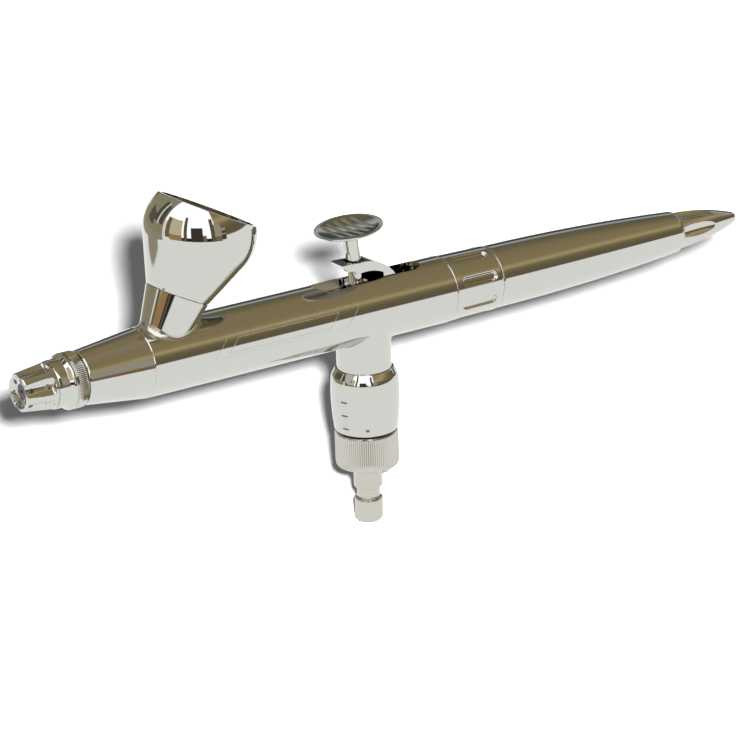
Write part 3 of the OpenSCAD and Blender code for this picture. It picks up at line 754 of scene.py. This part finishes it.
def make_handle():
    length = HANDLE_X - SLEEVE_X

    def radius(x):
        return 5.68 - 1.83 * ((x - SLEEVE_X) / length) ** 2.05

    profile = ([(4.9, SLEEVE_X + 0.02), (5.5, SLEEVE_X + 0.02), (5.62, SLEEVE_X + 0.08)]
               + [(radius(x), x) for x in np.linspace(SLEEVE_X + 0.18, HANDLE_X - 0.35, 90)]
               + [(3.8, HANDLE_X - 0.22), (3.7, HANDLE_X - 0.08), (3.55, HANDLE_X - 0.01),
                  (3.02, HANDLE_X - 0.01), (3.02, HANDLE_X - 8), (4.9, HANDLE_X - 16)])
    handle = lathe("handle", BARREL, profile, 192)
    finish_piece(handle, "gun_body", "chrome", CHROME, "handle_shell")


def make_tail():
    length = TAIL_X - HANDLE_X

    def scallops(r, t, phi):
        """Six long leaf-shaped hollows."""
        cutter, middle, floor, major = 1.7, HANDLE_X + 5.6, 2.5, 26.0
        lift = floor + major + cutter - np.sqrt((major + cutter) ** 2 - (t - middle) ** 2)
        angle = angle_to_nearest(phi, 6, math.radians(80))
        side = r * np.sin(angle)
        groove = lift + cutter - np.sqrt(np.maximum(cutter ** 2 - side ** 2, 0))
        groove = groove / np.cos(np.clip(angle, -0.6, 0.6))
        return np.where((np.abs(side) < cutter) & (t > HANDLE_X + 0.3), np.minimum(r, groove), r)

    profile = ([(0, HANDLE_X - 0.9), (2.9, HANDLE_X - 0.9), (2.9, HANDLE_X + 0.05),
                (3.2, HANDLE_X + 0.06), (3.34, HANDLE_X + 0.14)]
               + [(3.4 - 2.53 * t * t, HANDLE_X + length * t)
                  for t in np.linspace(0.02, 0.965, 110)]
               + [(0.9, TAIL_X - 0.3), (0.8, TAIL_X - 0.12), (0.6, TAIL_X - 0.03), (0.4, TAIL_X),
                  (0, TAIL_X)])
    tail = lathe("tail_knob_turned", BARREL, profile, 420, scallops, 25)
    finish_piece(tail, "limiter", "chrome", CHROME, "tail_knob")


# ---- Air valve and regulator ----------------------------------------------------------
def housing_radius(z):
    """Radius of the valve housing's barrel-shaped outside."""
    belly_z, belly_r = -15.2, 6.1
    bend = 30 if z > belly_z else 48
    return belly_r - (bend - math.sqrt(bend * bend - (z - belly_z) ** 2))


def make_housing():
    top = BOSS_Z - 1.45
    profile = (rounded([(4.3, BOSS_Z), (5.15, BOSS_Z, 0.12), (5.78, BOSS_Z - 1.15, 0.4),
                        (housing_radius(top - 0.3), top - 0.3)], closed=False)
               + [(housing_radius(z), z) for z in np.linspace(top - 0.4, HOUSING_Z + 0.3, 70)]
               + [(5.55, HOUSING_Z + 0.12), (5.45, HOUSING_Z + 0.02), (5.35, HOUSING_Z),
                  (3.3, HOUSING_Z), (3.3, BOSS_Z - 2.2), (4.3, BOSS_Z - 2.2)])
    housing = lathe("valve_housing_turned", VALVE, profile, 192)
    finish_piece(housing, "gun_body", "chrome", CHROME, "valve_housing")


def mark(points_of, phi0, phi1, t0, t1, cols=10, rows=3):
    """Verts and faces of a thin mark laid on a turned surface."""
    verts = [points_of(phi0 + (phi1 - phi0) * j / cols, t0 + (t1 - t0) * i / rows)
             for i in range(rows + 1) for j in range(cols + 1)]
    return verts, grid_faces(rows + 1, cols + 1, False, False)


def join_marks(name, marks, material):
    """One piece made of several thin marks."""
    verts, faces = [], []
    for v, f in marks:
        faces += [tuple(k + len(verts) for k in face) for face in f]
        verts += list(v)
    obj = new_object(name, verts, faces)
    obj.data.shade_smooth()
    finish_piece(obj, "gun_body", "chrome", material)


def on_housing(phi, z):
    """A point just above the housing's surface."""
    return place(VALVE, housing_radius(z) + 0.012, z, phi).reshape(3)


def make_marks():
    """A plain scale of long and short ticks, and a dot below it."""
    major, minor = [], []
    steps = 24
    for i in range(9):
        z = -15.7 - 0.625 * i
        long_tick = i % 4 == 0
        spread = math.radians(6.4 if long_tick else 3.6)
        middle, height = math.radians(-161.5), 0.16 if long_tick else 0.09
        (major if long_tick else minor).append(
            mark(on_housing, middle - spread, middle + spread, z - height, z + height))
    join_marks("pressure_scale_long", major, INK_AND_HOLE_SHADE)
    join_marks("pressure_scale_short", minor, ETCH)
    dot = []
    for i in range(steps):
        a, b = TAU * i / steps, TAU * (i + 1) / steps
        dot += [(0, 0), (0.36 * math.cos(a), 0.26 * math.sin(a)),
                (0.36 * math.cos(b), 0.26 * math.sin(b))]
    verts = [on_housing(math.radians(-121) + u / 6, -20.75 + w) for u, w in dot]
    faces = [(3 * i, 3 * i + 1, 3 * i + 2) for i in range(steps)]
    join_marks("pressure_dot", [(verts, faces)], INK_AND_HOLE_SHADE)


def make_stripes():
    """A plain engraved ornament on the barrel's side: two nested slanted frames of fine line."""
    def on_barrel(phi, x):
        return place(BARREL, BARREL_R + 0.006, x, phi).reshape(3)

    marks, fine = [], 0.12
    for low, high, x0, x1, slant in ((-4, 30, -33.5, -7.0, 3.2), (2, 24, -30.6, -10.4, 2.1)):
        def point(u, v):
            """u runs along the frame and v up it, both from 0 to 1."""
            angle = math.radians(90 - (low + (high - low) * v))
            return angle, x0 + (x1 - x0) * u + slant * v

        for v in (0, 1):
            angle, left = point(0, v)
            _, right = point(1, v)
            width = fine / BARREL_R
            marks.append(mark(on_barrel, angle - width / 2, angle + width / 2, left, right, 2, 60))
        for u in (0, 1):
            verts, steps = [], 24
            for i in range(steps + 1):
                angle, x = point(u, i / steps)
                verts += [on_barrel(angle, x - fine / 2), on_barrel(angle, x + fine / 2)]
            marks.append((verts, [(2 * i, 2 * i + 1, 2 * i + 3, 2 * i + 2) for i in range(steps)]))
    join_marks("engraved_frames", marks, ETCH)


def make_regulator():
    teeth = 88

    def knurl(r, t, phi):
        on = (t > RING_END_Z + 0.45) & (t < HOUSING_Z - 0.75) & (r > 5.4)
        return np.where(on, r - 0.08 * (1 - np.cos(teeth * phi)), r)

    top = HOUSING_Z - 0.25
    profile = ([(3.2, top), (5.3, top), (5.5, top - 0.1), (5.58, top - 0.3), (5.6, top - 0.45)]
               + line((RING_R, top - 0.55), (RING_R, RING_END_Z + 0.35), 10)
               + [(5.58, RING_END_Z + 0.3), (5.45, RING_END_Z + 0.1), (5.3, RING_END_Z),
                  (4.4, RING_END_Z), (4.4, -24), (3.2, -24)])
    ring = lathe("regulator_ring_knurled", VALVE, profile, teeth * 6, knurl, 40)
    finish_piece(ring, "regulator", "satin_nickel", NICKEL, "regulator_ring")


def make_plug():
    profile = rounded([
        (1.35, -26.4), (1.0, -26.2), (1.0, -19.9), (3.2, -19.9), (3.2, HOUSING_Z), (3.0, HOUSING_Z),
        (3.0, -28.1), (4.35, -28.1), (4.35, -28.7, 0.05), (2.56, -28.7, 0.1), (2.56, -32.9, 0.15),
        (2.4, -33.2, 0.1), (2.05, -33.3, 0.2), (2.05, -34.95, 0.2), (2.45, -35.25, 0.12),
        (2.52, -35.5, 0.1), (2.5, -38.9, 0.3), (2.15, PLUG_Z, 0.2), (1.55, PLUG_Z, 0.1),
        (1.35, PLUG_Z + 0.2, 0.1)])
    plug = lathe("hose_plug_turned", VALVE, profile, 128)
    finish_piece(plug, "gun_body", "satin_nickel", NICKEL, "quick_plug")


make_crown()
make_head()
make_body()
make_trough()
make_spring("valve_spring")
make_spring("needle_spring")
make_neck()
make_boss_fillet()
make_cup()
make_trigger()
make_lever()
make_sleeve()
make_handle()
make_tail()
make_housing()
make_marks()
make_stripes()
make_regulator()
make_plug()


# ---- Stage: floor, room light, soft key light, camera -------------------------------------
def make_floor():
    """A plain pale floor, which mirrors see as evenly lit paper."""
    half, z = 6000.0, PLUG_Z - 1.0
    floor = new_object("floor", [(-half, -half, z), (half, -half, z), (half, half, z),
                                 (-half, half, z)], [(0, 1, 2, 3)])
    mat = bpy.data.materials.new("floor_paper")
    mat.use_nodes = True
    nodes, links = mat.node_tree.nodes, mat.node_tree.links
    paper = nodes["Principled BSDF"]
    paper.inputs["Base Color"].default_value = (0.86, 0.86, 0.86, 1)
    paper.inputs["Roughness"].default_value = 1.0
    paper.inputs["Specular IOR Level"].default_value = 0.0
    mirrored = nodes.new("ShaderNodeEmission")
    mirrored.inputs["Color"].default_value = (1.03, 1.03, 1.0, 1)
    rays = nodes.new("ShaderNodeLightPath")
    either = nodes.new("ShaderNodeMixShader")
    links.new(rays.outputs["Is Glossy Ray"], either.inputs["Fac"])
    links.new(paper.outputs["BSDF"], either.inputs[1])
    links.new(mirrored.outputs["Emission"], either.inputs[2])
    links.new(either.outputs["Shader"], nodes["Material Output"].inputs["Surface"])
    floor.data.materials.append(mat)


def ramp(nodes, stops):
    """A colour ramp with a colour at each of several heights."""
    node = nodes.new("ShaderNodeValToRGB")
    while len(node.color_ramp.elements) < len(stops):
        node.color_ramp.elements.new(0.5)
    for element, (at, color) in zip(node.color_ramp.elements, stops):
        element.position = at
        element.color = (*color, 1)
    return node


def make_room():
    """Soft, even room light. Mirrors see more: a pale table below, an olive-brown room above with
    a lighter band, and a darker far side with a pale line."""
    world = bpy.data.worlds.new("room")
    bpy.context.scene.world = world
    world.use_nodes = True
    nodes, links = world.node_tree.nodes, world.node_tree.links
    coord = nodes.new("ShaderNodeTexCoord")
    split = nodes.new("ShaderNodeSeparateXYZ")
    links.new(coord.outputs["Generated"], split.inputs["Vector"])

    def height(degrees):
        return 0.5 + 0.5 * math.sin(math.radians(degrees))

    half = nodes.new("ShaderNodeMath")
    half.operation = "MULTIPLY_ADD"
    half.inputs[1].default_value = 0.5
    half.inputs[2].default_value = 0.5
    links.new(split.outputs["Z"], half.inputs[0])
    table = (1.0, 1.0, 0.99)
    near = ramp(nodes, [
        (height(-1), table), (height(1.5), (0.16, 0.13, 0.09)), (height(12), (0.17, 0.14, 0.075)),
        (height(22), (0.24, 0.19, 0.09)), (height(31), (0.52, 0.42, 0.22)),
        (height(40), (0.33, 0.26, 0.125)), (height(60), (0.30, 0.235, 0.13)),
        (height(90), (0.34, 0.29, 0.19))])
    far = ramp(nodes, [
        (height(-1), table), (height(1.5), (0.30, 0.31, 0.30)), (height(5), (0.06, 0.075, 0.07)),
        (height(16), (0.055, 0.07, 0.065)), (height(20), (0.14, 0.15, 0.14)),
        (height(24), (0.50, 0.52, 0.50)), (height(29), (0.40, 0.41, 0.38)),
        (height(34), (0.14, 0.13, 0.10)), (height(46), (0.20, 0.17, 0.09)),
        (height(60), (0.30, 0.235, 0.13))])
    for node in (near, far):
        links.new(half.outputs["Value"], node.inputs["Fac"])
    side = nodes.new("ShaderNodeMapRange")
    side.inputs["From Min"].default_value = -0.15
    side.inputs["From Max"].default_value = 0.25
    links.new(split.outputs["Y"], side.inputs["Value"])
    room = nodes.new("ShaderNodeMix")
    room.data_type = "RGBA"
    links.new(side.outputs["Result"], room.inputs["Factor"])
    links.new(near.outputs["Color"], room.inputs["A"])
    links.new(far.outputs["Color"], room.inputs["B"])
    rays = nodes.new("ShaderNodeLightPath")
    fill, backdrop = 0.14, 0.92
    plain = nodes.new("ShaderNodeMix")
    plain.data_type = "RGBA"
    plain.inputs["A"].default_value = (fill, fill, fill, 1)
    plain.inputs["B"].default_value = (backdrop, backdrop, backdrop, 1)
    links.new(rays.outputs["Is Camera Ray"], plain.inputs["Factor"])
    seen = nodes.new("ShaderNodeMix")
    seen.data_type = "RGBA"
    links.new(rays.outputs["Is Glossy Ray"], seen.inputs["Factor"])
    links.new(plain.outputs["Result"], seen.inputs["A"])
    links.new(room.outputs["Result"], seen.inputs["B"])
    background = nodes["Background"]
    links.new(seen.outputs["Result"], background.inputs["Color"])


CARD_X, CARD_Z = -35.0, 15.0  # where the cards stand round: the middle of the cup


def reflection_only(obj, color):
    """A glowing stage card that only the mirror reflections see."""
    mat = bpy.data.materials.new(obj.name)
    mat.use_nodes = True
    nodes, links = mat.node_tree.nodes, mat.node_tree.links
    glow = nodes.new("ShaderNodeEmission")
    glow.inputs["Color"].default_value = (*color, 1)
    links.new(glow.outputs["Emission"], nodes["Material Output"].inputs["Surface"])
    nodes.remove(nodes["Principled BSDF"])
    obj.data.materials.append(mat)
    obj.visible_camera = obj.visible_diffuse = obj.visible_shadow = False
    obj.visible_transmission = obj.visible_volume_scatter = False


def card(name, az0, az1, el0, el1, distance, color):
    """A curved upright card around the cup, given by the directions that it fills."""
    verts, steps = [], 24
    for el in (el0, el1):
        z = max(CARD_Z + distance * math.tan(math.radians(el)), PLUG_Z - 0.9)
        for i in range(steps + 1):
            az = math.radians(az0 + (az1 - az0) * i / steps)
            verts.append((CARD_X + distance * math.cos(az), distance * math.sin(az), z))
    n = steps + 1
    faces = [(i, i + 1, n + i + 1, n + i) for i in range(steps)]
    reflection_only(new_object(name, verts, faces), color)


def make_cards():
    """What stands round the table in reflections: a window's light at the front left with plain
    dark and tan blocks before it, and an olive wall and a darker table at the back left."""
    olive, dark, black = (0.34, 0.31, 0.20), (0.14, 0.12, 0.08), (0.03, 0.025, 0.02)
    white, tan, orange = (1.7, 1.7, 1.68), (0.70, 0.62, 0.42), (0.42, 0.26, 0.11)
    for row in (
            ("wall_left", 85, 159, -9, 66, 700, olive),
            ("wall_left_low", 108, 130, 3, 20, 640, dark),
            ("frame_dark", 130, 156, 12, 46, 620, (0.10, 0.095, 0.08)),
            ("frame_stripe", 140, 144, 10, 48, 600, (0.9, 0.9, 0.86)),
            ("door_light", 159, 166, -9, 24, 650, (0.95, 0.94, 0.9)),
            ("post_olive", 166, 176, -9, 33, 600, (0.20, 0.16, 0.09)),
            ("box_tan", 176, 203, 2, 34, 390, tan),
            ("box_low", 176, 203, -9, 3, 385, orange),
            ("window", 160, 272, -6, 76, 800, white),
            ("table_edge", 203, 272, -9, -0.5, 390, black),
            ("post_a", 207, 214, -9, 42, 380, dark),
            ("cabinet", 222, 246, -9, 22, 380, (0.06, 0.05, 0.04)),
            ("cabinet_side", 246, 253, -9, 6, 380, (0.30, 0.18, 0.09)),
            ("post_b", 262, 270, -9, 38, 380, dark),
            ("shelf", 270, 284, 2, 26, 385, (0.42, 0.39, 0.30)),
            ("shelf_low", 270, 284, -9, 2, 385, (0.28, 0.17, 0.09)),
            ("table_line", 284, 293, -6, 3.5, 385, (0.10, 0.065, 0.03)),
            ("ledge", 284, 293, 3.5, 6, 385, (0.40, 0.36, 0.27)),
            ("ledge_dark", 284, 293, 6, 11, 385, (0.10, 0.085, 0.05)),
            ("ledge_pale", 284, 293, 11, 16, 385, (0.42, 0.40, 0.34))):
        card(*row)
    z = PLUG_Z - 0.7
    corner = [(20, 332), (-275, 85), (-1425, 560), (-400, 1900), (300, 1500)]
    reflection_only(new_object("table_left", [(x, y, z) for x, y in corner], [tuple(range(5))]),
                    (0.385, 0.345, 0.255))


CAMERA_AT = Vector((-0.26499, -0.40484, 0.16382))
CAMERA_AIM = Vector((0.001374, 0.0, -0.011971))
CAMERA_ROLL = math.radians(1.93)
CAMERA_LENS = 142.55
KEY_STRENGTH, KEY_RADIUS, KEY_RIGHT, KEY_UP = 220.0, 12, 19, 16


def make_camera():
    data = bpy.data.cameras.new("camera")
    data.lens = CAMERA_LENS
    data.sensor_width = 36.0
    camera = bpy.data.objects.new("camera", data)
    bpy.context.scene.collection.objects.link(camera)
    camera.location = CAMERA_AT
    camera.rotation_euler = (CAMERA_AIM - CAMERA_AT).to_track_quat("-Z", "Y").to_euler()
    camera.rotation_euler.rotate_axis("Z", -CAMERA_ROLL)
    data.clip_start = 0.01
    data.clip_end = 50.0
    bpy.context.scene.camera = camera


def make_key_light():
    """A small soft key just above the camera's right shoulder, so that shadows fall close behind
    the gun, down and to the left. Its strength doesn't fall off, and mirrors don't show it."""
    data = bpy.data.lights.new("key", "POINT")
    data.shadow_soft_size = KEY_RADIUS * MM
    data.energy = 1.0
    data.use_nodes = True
    nodes, links = data.node_tree.nodes, data.node_tree.links
    even = nodes.new("ShaderNodeLightFalloff")
    even.inputs["Strength"].default_value = KEY_STRENGTH
    links.new(even.outputs["Constant"], nodes["Emission"].inputs["Strength"])
    key = bpy.data.objects.new("key", data)
    bpy.context.scene.collection.objects.link(key)
    ahead = (CAMERA_AIM - CAMERA_AT).normalized()
    right = ahead.cross(Vector((0, 0, 1))).normalized()
    key.location = CAMERA_AT + (right * KEY_RIGHT + right.cross(ahead) * KEY_UP) * MM
    key.visible_glossy = False


make_floor()
make_room()
make_cards()
make_camera()
make_key_light()
scene = bpy.context.scene
scene.view_settings.view_transform = "Standard"
scene.view_settings.look = "None"
